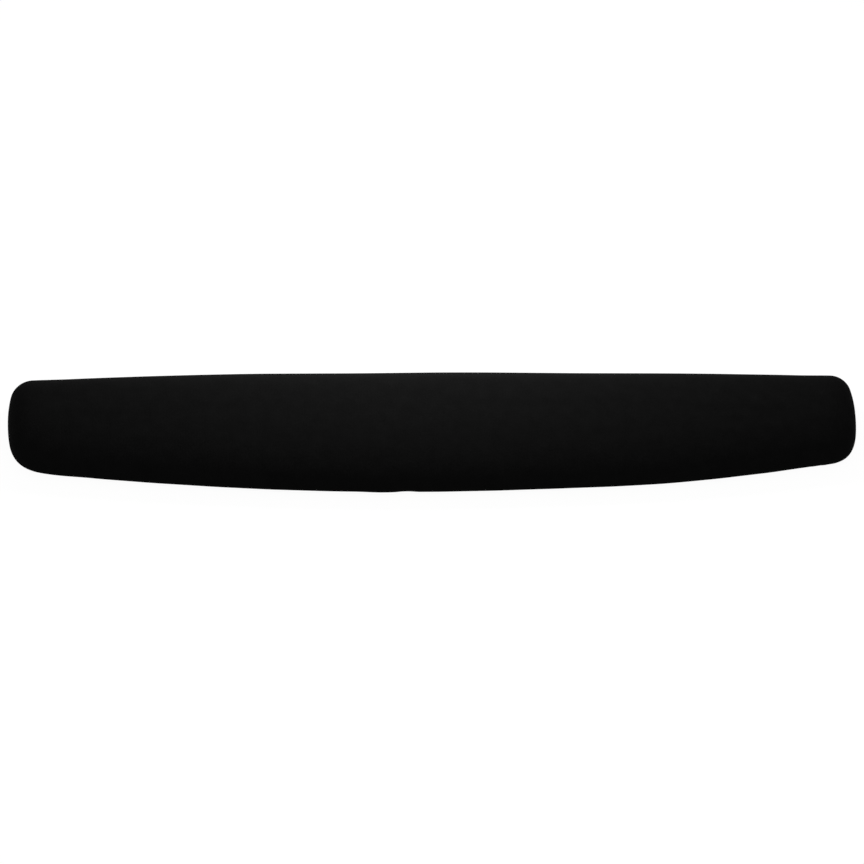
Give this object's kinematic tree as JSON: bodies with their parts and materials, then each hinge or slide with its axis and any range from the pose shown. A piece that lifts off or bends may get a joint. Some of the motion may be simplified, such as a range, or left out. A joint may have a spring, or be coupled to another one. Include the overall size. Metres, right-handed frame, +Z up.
{
  "type": "keyboard wrist rest",
  "caption": "Long, low wrist rest: a crowned gel pad on a stiff board, wrapped in stretch knit with a turned-in hem, on a non-skid sheet, with a bowed front edge and rounded corners.",
  "frame": {"origin": "on the desk, under the middle of the length and of the depth", "axes": "+X along the length (along the keyboard), +Y from the user towards the keyboard, +Z up from the desk"},
  "size_m": [0.47, 0.074, 0.022],
  "materials": {
    "cover_knit": "black stretch knit, matt",
    "gel_film": "clear soft film",
    "gel": "soft translucent gel",
    "adhesive": "dried adhesive",
    "board": "moulded plastic board, matt",
    "nonskid_rubber": "black rubber with a fine embossed pattern"
  },
  "bodies": {
    "root": {"fabric_cover": "cover_knit", "gel_top_film": "gel_film", "gel_core": "gel", "gel_bottom_film": "gel_film", "pad_adhesive": "adhesive", "base_board": "board", "hem_adhesive": "adhesive", "base_adhesive": "adhesive", "nonskid_sheet": "nonskid_rubber"}
  },
  "joints": []
}
